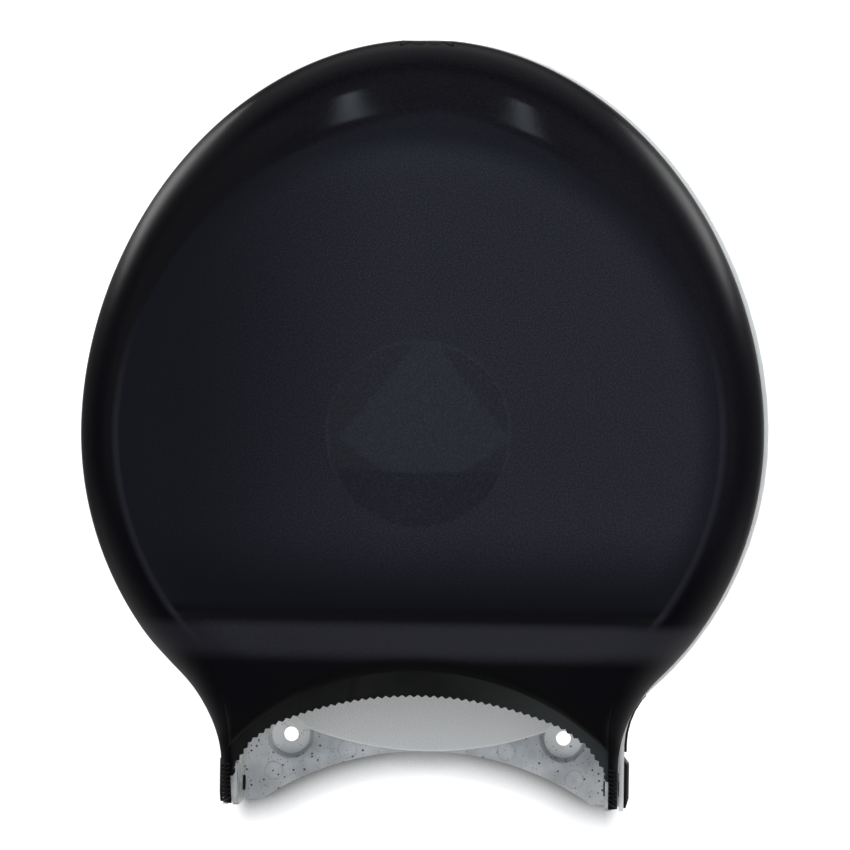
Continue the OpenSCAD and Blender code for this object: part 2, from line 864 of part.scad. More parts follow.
module carrier_screws() {
    color(steel)
        for (x = [-carrier_screw_x, carrier_screw_x])
            translate([x, -carrier_mid, carrier_top - 3])
                union() {
                    translate([0, 0, -tiny])
                        cylinder(r = ear_screw_r, h = 3 + tiny + cover_wall * 0.6);
                    translate([0, 0, -1.4])
                        cylinder(r = carrier_head_r, h = 1.4);
                }
}

// Coil spring between the carrier's floor and the arm, swept with six-sided wire.
spring_turns = 4;
spring_rings = 16 * spring_turns;
spring_sides = 6;

module latch_spring() {
    foot = carrier_floor + wire_r + 0.1;
    rise = arm_z - carrier_floor - 2 * wire_r - 0.2;
    function ring(k) =
        let (
            a = 360 * spring_turns * k / spring_rings,
            c = [coil_r * cos(a), coil_r * sin(a) - carrier_mid, foot + rise * k / spring_rings]
        )
        [for (s = [0:spring_sides - 1])
            let (b = 360 * s / spring_sides)
            c + wire_r * [cos(a) * cos(b), sin(a) * cos(b), sin(b)]];
    points = flat([for (k = [0:spring_rings]) ring(k)]);
    sides = [for (k = [0:spring_rings - 1], s = [0:spring_sides - 1], half = [0, 1])
        let (
            a = k * spring_sides + s,
            b = k * spring_sides + (s + 1) % spring_sides
        )
        half == 0 ? [a, a + spring_sides, b + spring_sides] : [a, b + spring_sides, b]];
    last = spring_rings * spring_sides;
    ends = concat(
        [for (s = [1:spring_sides - 2]) [0, s, s + 1]],
        [for (s = [1:spring_sides - 2]) [last, last + s + 1, last + s]]
    );
    color(steel)
        polyhedron(points = points, faces = concat(sides, ends), convexity = 8);
}

striker_foot_z = carrier_floor;
striker_xs = [-13, 13];
// Half width and half height of the striker's foot
striker_foot = [19, 6];

module striker() {
    color(black)
        difference() {
            union() {
                // foot against the platform, riser, top plate and lip
                block([-striker_foot[0], striker_foot[0]], [platform, platform + 3],
                    [striker_foot_z - striker_foot[1], striker_foot_z + striker_foot[1]]);
                block([-9, 9], [platform, platform + 3], [striker_foot_z, lip_z + 6.5]);
                block([-9, 9], [platform, lip_depth[1]], [lip_z + 3.5, lip_z + 6.5]);
                block([-9, 9], lip_depth, [lip_z, lip_z + 4]);
            }
            for (x = striker_xs)
                rod(post_screw_r, platform - 1, platform + 4, x, striker_foot_z);
        }
}

module striker_screws() {
    color(steel)
        for (x = striker_xs)
            panel_screw(x, striker_foot_z, platform + 3);
}

// ---- Spindle ----

post_screw_r = 1.8;
post_screw_ring = 18;
post_angles = [90, 210, 330];
post_flange_t = 4;
hub_back = platform + post_flange_t + washer_t + 0.2;
hub_flange_t = 3;
hub_front = hub_back + hub_flange_t + hub_len + 2;
post_end = hub_front + 0.3;

// A pan-headed screw that runs towards the wall from a surface.
module panel_screw(x, z, surface) {
    union() {
        rod(post_screw_r, 3, surface + tiny, x, z);
        rod(post_screw_r + 1.6, surface, surface + 2, x, z);
        rod(post_screw_r + 0.9, surface + 2 - tiny, surface + 2.6, x, z);
    }
}

module spindle_post() {
    color(black)
        difference() {
            union() {
                rod(post_flange_r, platform, platform + post_flange_t);
                rod(post_r, platform, post_end);
            }
            for (a = post_angles)
                rod(post_screw_r, platform - 1, platform + post_flange_t + 1,
                    post_screw_ring * cos(a), post_screw_ring * sin(a));
            rod(post_screw_r, post_end - 14, post_end + 1);
        }
}

module post_screws() {
    color(steel)
        for (a = post_angles)
            translate([post_screw_ring * cos(a), 0, post_screw_ring * sin(a)])
                union() {
                    rod(post_screw_r, 3, platform + post_flange_t - 1.5 + tiny);
                    rod(post_screw_r, platform + post_flange_t - 1.5, platform + post_flange_t);
                }
}

module drag_washer() {
    color(steel)
        difference() {
            rod(post_flange_r - 9, platform + post_flange_t, platform + post_flange_t + washer_t);
            rod(post_r + 0.1, platform, hub_back);
        }
}

module roll_hub() {
    color(black)
        difference() {
            union() {
                rod(hub_flange_r, hub_back, hub_back + hub_flange_t);
                difference() {
                    union() {
                        rod(hub_r, hub_back, hub_front - 2);
                        // rounded nose
                        translate([0, -(hub_front - 2), 0])
                            rotate([90, 0, 0])
                                cylinder(r1 = hub_r, r2 = hub_r - 2, h = 2);
                    }
                    rod(hub_r - hub_wall, hub_back + hub_flange_t, hub_front + 1);
                }
                // sleeve that runs on the post
                rod(post_r + 3, hub_back, hub_front);
                // ribs between the sleeve and the drum
                for (a = [0:60:300])
                    rotate([0, a, 0])
                        block([post_r + 2, hub_r - hub_wall + 0.2], [hub_back, hub_front - 6], [-1, 1]);
            }
            rod(post_r + hub_play, hub_back - 1, hub_front + 1);
        }
}

module hub_retainer() {
    color(black)
        difference() {
            rod(post_r + 5, post_end, post_end + 3);
            rod(post_screw_r, post_end - 1, post_end + 4);
        }
}

module retainer_screw() {
    color(steel)
        union() {
            rod(post_screw_r, post_end - 12, post_end + 3 + tiny);
            rod(post_screw_r + 1.8, post_end + 3, post_end + 5);
            rod(post_screw_r + 1, post_end + 5 - tiny, post_end + 5.6);
        }
}

rear_base();
cover_shell();
tear_bar();
cover_ear(-1);  // cover_ear_left
cover_ear(1);  // cover_ear_right
ear_screws();
hinge_clip(-1);  // hinge_clip_left
hinge_clip(1);  // hinge_clip_right
edge_strip(-1);  // edge_strip_left
edge_strip(1);  // edge_strip_right
lock_button();
latch_arm();
latch_spring();
latch_carrier();
carrier_screws();
striker();
striker_screws();
spindle_post();
post_screws();
drag_washer();
roll_hub();
hub_retainer();
retainer_screw();
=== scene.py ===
import json
import math

import bmesh
import bpy
from mathutils import Matrix, Quaternion, Vector

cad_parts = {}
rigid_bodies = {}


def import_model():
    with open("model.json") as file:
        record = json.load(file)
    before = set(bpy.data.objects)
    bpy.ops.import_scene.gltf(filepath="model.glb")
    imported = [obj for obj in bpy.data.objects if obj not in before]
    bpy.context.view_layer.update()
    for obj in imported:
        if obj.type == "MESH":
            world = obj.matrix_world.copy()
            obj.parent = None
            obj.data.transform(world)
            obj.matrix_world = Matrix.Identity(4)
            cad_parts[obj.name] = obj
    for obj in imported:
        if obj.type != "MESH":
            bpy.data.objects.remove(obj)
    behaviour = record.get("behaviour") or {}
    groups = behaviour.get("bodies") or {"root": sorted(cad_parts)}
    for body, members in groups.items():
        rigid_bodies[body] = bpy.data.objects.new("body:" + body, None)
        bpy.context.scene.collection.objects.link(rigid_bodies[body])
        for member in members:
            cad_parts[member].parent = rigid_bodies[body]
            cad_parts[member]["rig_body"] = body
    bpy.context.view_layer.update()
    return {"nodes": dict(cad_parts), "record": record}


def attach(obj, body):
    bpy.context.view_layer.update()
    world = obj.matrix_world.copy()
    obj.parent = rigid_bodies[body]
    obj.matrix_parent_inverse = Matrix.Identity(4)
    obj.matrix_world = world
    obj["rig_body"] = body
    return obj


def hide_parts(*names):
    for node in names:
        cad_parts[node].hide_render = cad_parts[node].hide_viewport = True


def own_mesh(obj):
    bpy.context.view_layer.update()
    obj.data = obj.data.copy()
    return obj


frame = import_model()
MM = 0.001

# ---- Sizes in mm, those of the CAD source where both have them ----

COVER_R, COVER_DRAFT, TOP_BULGE = 130.2, 0.9, 20.5
FRONT_R = COVER_R - COVER_DRAFT
FRONT_BULGE = TOP_BULGE - 0.8
LEG_X, LEG_INNER_X, FOOT_Z = 75.9, 72.3, -143.4
REAR_WAIST, FRONT_WAIST, FACE_WAIST = 30.0, 50.0, 70.0
FACE_DEPTH, FACE_R, COVER_BACK = 138.0, 112.3, 38.0
SHOULDER, SHOULDER_END = 36.0, math.radians(82)
WALL = 2.5
CREASE_Z, LEAN = -69.0, math.radians(38)
CREASE_SOFT = 5.0
DOME_R, DOME_H, DOME_SOFT = 34.7, 5.0, 1.6
ARCH_R, ARCH_Z, LIP_R, ROLL_START = 100.0, -89.5, 5.0, -98.0
BULGE_POWER = 1.45
BUTTON_X, BUTTON_BACK, BUTTON_FRONT = 10.0, 86.0, 112.0
SCALLOP_PITCH, SCALLOP_H, BUTTON_GAP, BUTTON_SIDE_GAP = 6.3, 1.4, 1.5, 0.15
HOLE_LOW, HOLE_HIGH = 134.0, 175.0
PLATFORM_R, PLATFORM_Z = 135.9, 9.8
SCREW_X, SCREW_Z, SEAT_R = 54.0, -120.7, 7.7
RIB_COUNT, RIB_TOP, RIB_PITCH, RIB_SLANT, RIB_H = 9, -126.5, 1.7, 1.2, 0.9
RIB_INSET, RIB_SINK = 0.2, 0.25
RIB_CREST, RIB_END = 0.42, 0.86     # shares of the pitch
MARK_R, MARK_SOFT = 3.6, 0.3
MARKS = ((-60.5, -135), (58.5, -136.5), (31.5, -126), (-31.5, -126), (-78, -40), (78, -40),
         (-78, 40), (78, 40), (0, 84))

CREASE_A = math.asin(CREASE_Z / FACE_R)
ARCH_CZ = ARCH_Z - ARCH_R
CORNER_Z = ARCH_CZ + math.sqrt(ARCH_R ** 2 - LEG_INNER_X ** 2)

# ---- Steps and rows of the cover's mesh ----

ROUND_STEPS, NECK_STEPS, FOOT_STEPS, ARCH_STEPS = 104, 40, 8, 110
WALL_ROWS, ARC_ROWS, LIP_ROWS = 4, 24, 8
RIM_ROWS, CREASE_ROWS, FACE_ROWS, FOOT_ROWS, DOME_ROWS = 12, 12, 14, 8, 12
LEAST_RUN, ROOM_FROM_CREASE, ROOM_FROM_FACE = 1.0, 6.0, 3.0     # mm, where a run gets short
NEAR_MIDDLE = 0.999
BUTTON_STEPS = 96


def smooth(t):
    t = min(1.0, max(0.0, t))
    return t * t * (3 - 2 * t)


# ---- Meshes ----

def add_object(name, mesh, material):
    mesh.materials.append(material)
    obj = bpy.data.objects.new(name, mesh)
    bpy.context.scene.collection.objects.link(obj)
    return obj


def new_object(name, verts, faces, material):
    mesh = bpy.data.meshes.new(name)
    mesh.from_pydata([tuple(c * MM for c in v) for v in verts], [], faces)
    tidy(mesh)
    return add_object(name, mesh, material)


def copy_of(node, material):
    """A copy of a CAD node, for a piece to start from."""
    mesh = frame["nodes"][node].data.copy()
    mesh.name = node + "_piece"
    mesh.materials.clear()
    return add_object(mesh.name, mesh, material)


def tidy(mesh):
    bm = bmesh.new()
    bm.from_mesh(mesh)
    bmesh.ops.remove_doubles(bm, verts=bm.verts, dist=1e-7)
    bmesh.ops.recalc_face_normals(bm, faces=bm.faces)
    bm.to_mesh(mesh)
    bm.free()


def shade(obj, angle=32):
    mesh = obj.data
    mesh.shade_smooth()
    mesh.set_sharp_from_angle(angle=math.radians(angle))


def bake_modifiers(obj):
    """Turns the modifiers of a piece into its mesh."""
    bpy.context.view_layer.update()
    graph = bpy.context.evaluated_depsgraph_get()
    mesh = bpy.data.meshes.new_from_object(obj.evaluated_get(graph), depsgraph=graph)
    obj.modifiers.clear()
    obj.data = mesh


def bevel(obj, width, angle=35):
    mod = obj.modifiers.new("bevel", "BEVEL")
    mod.width = width * MM
    mod.segments = 2
    mod.limit_method = "ANGLE"
    mod.angle_limit = math.radians(angle)
    mod.use_clamp_overlap = True
    mod.miter_outer = "MITER_ARC"
    mod.harden_normals = False
    bake_modifiers(obj)


def dressed(node, width, material):
    """A piece with rounded edges in the shape of a CAD node, which it replaces."""
    source = frame["nodes"][node]
    obj = copy_of(node, material)
    bm = bmesh.new()
    bm.from_mesh(obj.data)
    bmesh.ops.remove_doubles(bm, verts=bm.verts, dist=2e-6)
    bmesh.ops.dissolve_limit(
        bm, angle_limit=math.radians(0.6), verts=bm.verts, edges=bm.edges, delimit={"NORMAL"})
    bm.to_mesh(obj.data)
    bm.free()
    bevel(obj, width)
    shade(obj)
    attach(obj, source["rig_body"])
    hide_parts(node)
    return obj


# ---- Outline of the body: round, bulged at the top, with a waist and two legs ----

def half_width(z, r, leg_x, waist):
    waist_z = -math.sqrt((r + waist) ** 2 - (leg_x + waist) ** 2)
    if z > waist_z * r / (r + waist):
        return math.sqrt(r * r - z * z)
    if z > waist_z:
        return leg_x + waist - math.sqrt(waist * waist - (z - waist_z) ** 2)
    return leg_x


def half_outline(r, bulge, leg_x, waist):
    pts = []
    for k in range(ROUND_STEPS + 1):
        a = math.pi / 2 - (math.pi / 2 - CREASE_A) * k / ROUND_STEPS
        lift = bulge * math.sin(a) ** BULGE_POWER if a > 0 else 0
        pts.append((r * math.cos(a), r * math.sin(a) + lift))
    for k in range(1, NECK_STEPS + 1):
        share = k / NECK_STEPS
        z = CREASE_Z + (CORNER_Z - CREASE_Z) * share
        z += (r * math.sin(CREASE_A) - CREASE_Z) * (1 - share)
        pts.append((half_width(z, r, leg_x, waist), z))
    for k in range(1, FOOT_STEPS + 1):
        z = CORNER_Z + (FOOT_Z - CORNER_Z) * k / FOOT_STEPS
        pts.append((half_width(z, r, leg_x, waist), z))
    return pts


def outline(r, bulge, leg_x, waist):
    half = half_outline(r, bulge, leg_x, waist)
    return [(-x, z) for x, z in reversed(half[1:])] + half


# ---- Cover ----

def face_at(z):
    """Depth of the face, with a soft bend at the crease."""
    below = CREASE_Z - z
    slope = math.tan(LEAN)
    if below < -CREASE_SOFT:
        return FACE_DEPTH
    if below > CREASE_SOFT:
        return FACE_DEPTH - slope * below
    return FACE_DEPTH - slope * (below + CREASE_SOFT) ** 2 / (4 * CREASE_SOFT)


def dome_at(r):
    """Height of the shallow dome, with a soft foot."""
    ball = (DOME_R ** 2 + DOME_H ** 2) / (2 * DOME_H)
    if r >= DOME_R + DOME_SOFT:
        return 0.0
    if r <= DOME_R - DOME_SOFT:
        return math.sqrt(ball ** 2 - r * r) - (ball - DOME_H)
    inner = DOME_R - DOME_SOFT
    height = math.sqrt(ball ** 2 - inner ** 2) - (ball - DOME_H)
    t = (DOME_R + DOME_SOFT - r) / (2 * DOME_SOFT)
    return height * t * t


def roll_share(z):
    """How far the edge is rolled under: 0 above ROLL_START, 1 at the arch's corners."""
    return smooth((ROLL_START - z) / (ROLL_START - CORNER_Z))


def side_columns(inset, edge):
    """Side wall and shoulder: one column from the back to the face per point of the outline."""
    rear = outline(COVER_R - inset, TOP_BULGE, LEG_X - inset, REAR_WAIST + inset)
    front = outline(FRONT_R - inset, FRONT_BULGE, LEG_X - inset, FRONT_WAIST + inset)
    columns = []
    for b, p, e in zip(rear, front, edge):
        end = face_at(e[1]) - LIP_R * roll_share(e[1]) - inset
        run = math.hypot(p[0] - e[0], p[1] - e[1]) + inset
        arc = (SHOULDER - inset) * min(1, run / (FRONT_R - FACE_R))
        start = end - arc
        col = []
        for k in range(WALL_ROWS):
            t = k / WALL_ROWS
            col.append((b[0] + (p[0] - b[0]) * t, -(COVER_BACK + (start - COVER_BACK) * t),
                        b[1] + (p[1] - b[1]) * t))
        for s in range(ARC_ROWS + 1):
            a = SHOULDER_END * s / ARC_ROWS
            out = (math.cos(a) - math.cos(SHOULDER_END)) / (1 - math.cos(SHOULDER_END))
            col.append((e[0] + (p[0] - e[0]) * out,
                        -(start + arc * math.sin(a) / math.sin(SHOULDER_END)),
                        e[1] + (p[1] - e[1]) * out))
        columns.append(col)
    return columns


def spread(a, b, n):
    """n values from just after a to b."""
    return [a + (b - a) * (k + 1) / n for k in range(n)]


def plate_columns(inset, border, rim_n):
    """Front plate: from its border inward over lip, crease and dome, to the middle."""
    columns = []
    for k, p in enumerate(border):
        far = math.hypot(*p)
        ux, uz = -p[0] / far, -p[1] / far
        roll = roll_share(p[1]) if k < rim_n else 1.0
        col = []
        for s in range(LIP_ROWS + 1):
            a = math.pi / 2 * s / LIP_ROWS
            q = LIP_R * (1 - math.cos(a))
            x, z = p[0] + ux * q, p[1] + uz * q
            col.append((x, -(face_at(z) - LIP_R * roll * (1 - math.sin(a)) - inset), z))
        stop = far - DOME_R - DOME_SOFT
        low = high = 0.0
        if abs(uz) > 1e-6 and p[1] < 0:
            low = (CREASE_Z - CREASE_SOFT - p[1]) / uz
            high = (CREASE_Z + CREASE_SOFT - p[1]) / uz
        low = min(max(low, LIP_R + LEAST_RUN), stop - ROOM_FROM_CREASE)
        high = min(max(high, low + LEAST_RUN), stop - ROOM_FROM_FACE)
        dome_foot = stop + 2 * DOME_SOFT
        steps = spread(LIP_R, low, RIM_ROWS) + spread(low, high, CREASE_ROWS)
        steps += spread(high, stop, FACE_ROWS) + spread(stop, dome_foot, FOOT_ROWS)
        steps += spread(dome_foot, far * NEAR_MIDDLE, DOME_ROWS)
        for q in steps:
            x, z = p[0] + ux * q, p[1] + uz * q
            col.append((x, -(face_at(z) + dome_at(math.hypot(x, z)) - inset), z))
        columns.append(col)
    return columns


def grid(columns, closed, verts, faces, flip):
    """Adds the columns and the faces between them. Gives the first vertex and the rows."""
    base = len(verts)
    rows = len(columns[0])
    for col in columns:
        verts.extend(col)
    n = len(columns)
    for i in range(n if closed else n - 1):
        a = base + i * rows
        b = base + ((i + 1) % n) * rows
        for j in range(rows - 1):
            quad = (a + j, b + j, b + j + 1, a + j + 1)
            faces.append(quad[::-1] if flip else quad)
    return base, rows


def row_of(start, rows, columns, row=0):
    """Vertices of one row of a grid, in the given columns."""
    return [start + column * rows + row for column in columns]


def column_of(start, rows, column):
    return [start + column * rows + row for row in range(rows)]


def strip(p, q, faces):
    for i in range(len(p) - 1):
        faces.append((p[i], q[i], q[i + 1], p[i + 1]))


def button_plan(gap):
    half = BUTTON_X + BUTTON_SIDE_GAP
    plan = [(half, BUTTON_BACK - gap), (-half, BUTTON_BACK - gap)]
    for k in range(BUTTON_STEPS + 1):
        x = -half + 2 * half * k / BUTTON_STEPS
        wave = SCALLOP_H * math.cos(2 * math.pi * x / SCALLOP_PITCH)
        plan.append((x, BUTTON_FRONT + gap - wave))
    return plan


def button_prism(gap, low, high):
    plan = button_plan(gap)
    n = len(plan)
    verts = [(x, -d, low) for x, d in plan] + [(x, -d, high) for x, d in plan]
    faces = [tuple(range(n))[::-1], tuple(range(n, 2 * n))]
    faces += [(i, (i + 1) % n, n + (i + 1) % n, n + i) for i in range(n)]
    return verts, faces


def cut_button_hole(cover, material):
    cutter = new_object("button_hole", *button_prism(BUTTON_GAP, HOLE_LOW, HOLE_HIGH), material)
    mod = cover.modifiers.new("hole", "BOOLEAN")
    mod.operation = "DIFFERENCE"
    mod.solver = "EXACT"
    mod.object = cutter
    bake_modifiers(cover)
    bpy.data.objects.remove(cutter)


def make_cover(material):
    edge = outline(FACE_R, 0, LEG_INNER_X, FACE_WAIST)
    last = len(edge) - 1
    rim = edge[FOOT_STEPS:last + 1 - FOOT_STEPS]
    arch_a = math.asin(LEG_INNER_X / ARCH_R)
    border = list(rim)
    for k in range(1, ARCH_STEPS):
        a = arch_a * (1 - 2 * k / ARCH_STEPS)
        border.append((ARCH_R * math.sin(a), ARCH_CZ + ARCH_R * math.cos(a)))
    n = len(border)

    verts, faces = [], []
    side, rows = grid(side_columns(0, edge), False, verts, faces, False)
    lining, _ = grid(side_columns(WALL, edge), False, verts, faces, True)
    front, depth = grid(plate_columns(0, border, len(rim)), True, verts, faces, False)
    back, _ = grid(plate_columns(WALL, border, len(rim)), True, verts, faces, True)
    for start, rise in ((front, 0), (back, WALL)):
        verts.append((0, -(FACE_DEPTH + DOME_H - rise), 0))
        middle = len(verts) - 1
        ends = row_of(start, depth, range(n), depth - 1)
        faces += [(ends[k], ends[(k + 1) % n], middle) for k in range(n)]
    around = range(last + 1)
    strip(row_of(side, rows, around), row_of(lining, rows, around), faces)
    for column in (0, last):
        strip(column_of(side, rows, column), column_of(lining, rows, column), faces)
    for first in (0, last - FOOT_STEPS):
        foot = range(first, first + FOOT_STEPS + 1)
        strip(row_of(side, rows, foot, rows - 1), row_of(lining, rows, foot, rows - 1), faces)
    mouth = list(range(len(rim) - 1, n)) + [0]
    strip(row_of(front, depth, mouth), row_of(back, depth, mouth), faces)
    cover = new_object("cover_piece", verts, faces, material)

    cut_button_hole(cover, material)
    bevel(cover, 0.35, 48)
    shade(cover, 40)
    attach(cover, "cover")
    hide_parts("cover_shell")


# ---- Materials ----

def rgb(r, g, b):
    return (r, g, b, 1.0)


def scaled_rgb(tint, share):
    return rgb(*(c * share for c in tint))


WHITE = rgb(1, 1, 1)


class Graph:
    """Short names for building a node tree."""

    def __init__(self, tree, place="Object"):
        self.tree = tree
        self.place = self.node("ShaderNodeTexCoord").outputs[place]

    def node(self, kind, **props):
        n = self.tree.nodes.new(kind)
        for key, value in props.items():
            setattr(n, key, value)
        return n

    def join(self, value, socket):
        if isinstance(value, bpy.types.NodeSocket):
            self.tree.links.new(value, socket)
        else:
            socket.default_value = value

    def math(self, op, a, b=0.0, clamp=False):
        n = self.node("ShaderNodeMath", operation=op, use_clamp=clamp)
        for value, socket in zip((a, b), n.inputs):
            self.join(value, socket)
        return n.outputs[0]

    def times(self, first, *others):
        for value in others:
            first = self.math("MULTIPLY", first, value)
        return first

    def plus(self, base, value, share):
        """base + value * share"""
        return self.math("ADD", base, self.times(value, share))

    def noise(self, scale, detail, rough=0.5, at=None):
        n = self.node("ShaderNodeTexNoise")
        self.join(at or self.place, n.inputs["Vector"])
        n.inputs["Scale"].default_value = scale
        n.inputs["Detail"].default_value = detail
        n.inputs["Roughness"].default_value = rough
        return n.outputs["Fac"]

    def scaled(self, factors, vector=None):
        n = self.node("ShaderNodeVectorMath", operation="MULTIPLY")
        self.join(vector or self.place, n.inputs[0])
        n.inputs[1].default_value = factors
        return n.outputs[0]

    def ramp(self, value, low, high, to_low=0.0, to_high=1.0):
        n = self.node("ShaderNodeMapRange", interpolation_type="SMOOTHSTEP")
        for socket, v in zip(n.inputs, (value, low, high, to_low, to_high)):
            self.join(v, socket)
        return n.outputs[0]

    def mix(self, share, a, b):
        n = self.node("ShaderNodeMix", data_type="RGBA")
        self.join(share, n.inputs["Factor"])
        self.join(a, n.inputs[6])
        self.join(b, n.inputs[7])
        return n.outputs[2]

    def axes(self):
        n = self.node("ShaderNodeSeparateXYZ")
        self.join(self.place, n.inputs[0])
        return n.outputs

    def radius(self, x, z, cx=0.0, cz=0.0):
        dx = self.math("SUBTRACT", x, cx)
        dz = self.math("SUBTRACT", z, cz)
        return self.math("SQRT", self.math("ADD", self.times(dx, dx), self.times(dz, dz)))

    def disc(self, r, inner, outer):
        """1 within the radius inner, 0 beyond outer, both in mm."""
        return self.ramp(r, inner * MM, outer * MM, 1.0, 0.0)

    def ring(self, r, inner, crest, fall, outer):
        """0 within inner and beyond outer, 1 from crest to fall, all in mm."""
        return self.times(self.ramp(r, inner * MM, crest * MM), self.disc(r, fall, outer))


class Finish(Graph):
    """A material, with its principled shader."""

    def __init__(self, name):
        self.mat = bpy.data.materials.new(name)
        self.mat.use_nodes = True
        super().__init__(self.mat.node_tree)
        self.shader = self.tree.nodes["Principled BSDF"]

    def set(self, **values):
        for key, value in values.items():
            self.join(value, self.shader.inputs[key.replace("_", " ")])

    def bump(self, height, distance, strength):
        n = self.node("ShaderNodeBump")
        self.join(height, n.inputs["Height"])
        n.inputs["Distance"].default_value = distance
        self.join(strength, n.inputs["Strength"])
        self.set(Normal=n.outputs[0])


def smoke_plastic():
    """Dark translucent plastic: a satin face, a glossier shoulder and a polished dome."""
    g = Finish("smoke_plastic")
    x, y, z = g.axes()
    r = g.radius(x, z)
    dome = g.times(g.disc(r, DOME_R - 0.6, DOME_R + 0.4), g.ramp(y, -0.130, -0.137))
    face = g.disc(r, FACE_R - 12, FACE_R + 1)
    grain = g.noise(1500, 3, 0.7)
    cloud = g.noise(14, 2)

    # painted light: lighter to the right and higher up, a painted floor reflection under the crease
    painted_light_across = g.ramp(x, -0.092, 0.0, 0.16, 1.0)
    above = g.ramp(z, -0.066, -0.030)
    below = g.times(g.ramp(z, -0.0745, -0.0690, 1.15, 0.0), g.ramp(z, -0.0875, -0.0795))
    tone = g.math("MAXIMUM", g.times(painted_light_across, above), g.math("MINIMUM", below, 1.0))
    # painted shade: darker on the shoulder, outside the face
    tone = g.times(tone, g.plus(0.2, face, 0.8))
    tone = g.times(tone, g.plus(0.8, cloud, 0.4))
    color = g.mix(tone, rgb(0.0004, 0.0003, 0.0018), rgb(0.0112, 0.0110, 0.0165))
    # painted reflection: the dome a little lighter and bluer all over
    color = g.mix(g.times(dome, 0.6), color, rgb(0.0135, 0.0145, 0.0180))
    flecks = g.times(g.math("ADD", 0.02, tone), g.ramp(grain, 0.42, 0.66, 0.0, 0.7))
    color = g.mix(flecks, color, rgb(0.027, 0.027, 0.036))
    # painted reflection of the floor: paler in the band under the crease, more to the right
    painted_floor_reflection = g.times(below, g.ramp(x, -0.105, 0.060, 0.55, 1.2))
    color = g.mix(g.math("MULTIPLY", painted_floor_reflection, 0.55, clamp=True), color, rgb(0.0300, 0.0300, 0.0370))

    # a painted highlight: a fine lighter line at the face's edge
    painted_edge_highlight = g.ring(r, FACE_R - 0.8, FACE_R + 0.6, FACE_R + 0.8, FACE_R + 3.2)
    painted_edge_highlight = g.times(painted_edge_highlight, g.times(g.ramp(z, 0.060, -0.010), g.ramp(z, -0.084, -0.074)))
    color = g.mix(g.times(painted_edge_highlight, 0.5), color, rgb(0.0220, 0.0220, 0.0300))

    # painted shade: almost black where the shell rolls under along the arch
    arch = g.radius(x, z, 0.0, ARCH_CZ * MM)
    lip = g.times(g.disc(arch, ARCH_R + 2, ARCH_R + LIP_R + 2), g.ramp(z, -0.129, -0.112))
    color = g.mix(lip, color, rgb(0.0004, 0.0004, 0.0004))

    # glossier on the crown and the dome
    crown = g.times(g.ramp(z, 0.090, 0.108), g.ramp(g.math("ABSOLUTE", x), 0.052, 0.085, 1.0, 0.0))
    rough = 0.30
    for part, more in ((crown, -0.22), (face, 0.13), (grain, 0.05), (dome, -0.40), (lip, 0.3)):
        rough = g.plus(rough, part, more)
    g.set(Base_Color=color, Roughness=rough, IOR=1.5, Specular_IOR_Level=0.07)
    g.bump(grain, 0.00004, g.plus(g.plus(0.3, face, 0.7), dome, -0.95))
    return g.mat


def satin(g, color, cloud, rough):
    """Satin finish of moulded black plastic."""
    g.set(Base_Color=color, Roughness=g.plus(rough, cloud, 0.14), IOR=1.5, Specular_IOR_Level=0.1)
    g.bump(g.noise(2100, 3, 0.6), 0.00003, 0.5)


def black_plastic(name="black_plastic", tint=(0.0042, 0.0042, 0.0046), rough=0.29):
    g = Finish(name)
    cloud = g.noise(60, 3)
    color = g.mix(g.ramp(cloud, 0.3, 0.7), scaled_rgb(tint, 0.75), scaled_rgb(tint, 1.35))
    satin(g, color, cloud, rough)
    return g.mat


def tear_plastic():
    """Black plastic of the tear edge, with a painted sheen making it paler towards its right end.
    """
    g = Finish("tear_plastic")
    cloud = g.noise(60, 3)
    painted_sheen = g.times(g.ramp(g.axes()[0], 0.005, 0.062), g.plus(0.8, cloud, 0.4))
    color = g.mix(g.ramp(cloud, 0.3, 0.7), rgb(0.0032, 0.0034, 0.0032), rgb(0.0056, 0.0060, 0.0056))
    satin(g, g.mix(painted_sheen, color, rgb(0.034, 0.038, 0.038)), cloud, 0.29)
    return g.mat


def pale_nylon():
    g = Finish("pale_nylon")
    cloud = g.noise(90, 4)
    color = g.mix(g.ramp(cloud, 0.3, 0.7), rgb(0.56, 0.58, 0.59), rgb(0.88, 0.89, 0.89))
    g.set(Base_Color=color, Roughness=g.plus(0.12, cloud, 0.12), IOR=1.53)
    g.bump(g.noise(1800, 2), 0.00003, 0.4)
    return g.mat


def specks(g):
    """Scattered dots of two sizes, with some cells left empty."""
    dots = []
    for scale, empty in ((380, 0.36), (800, 0.5)):
        cells = g.node("ShaderNodeTexVoronoi", feature="F1")
        g.join(g.place, cells.inputs["Vector"])
        cells.inputs["Scale"].default_value = scale
        near = g.ramp(cells.outputs["Distance"], 0.126, 0.234, 1.0, 0.0)
        pick = g.node("ShaderNodeSeparateColor")
        g.join(cells.outputs["Color"], pick.inputs[0])
        dots.append(g.times(near, g.math("GREATER_THAN", pick.outputs[0], empty)))
    return g.math("MAXIMUM", dots[0], g.times(dots[1], 0.75))


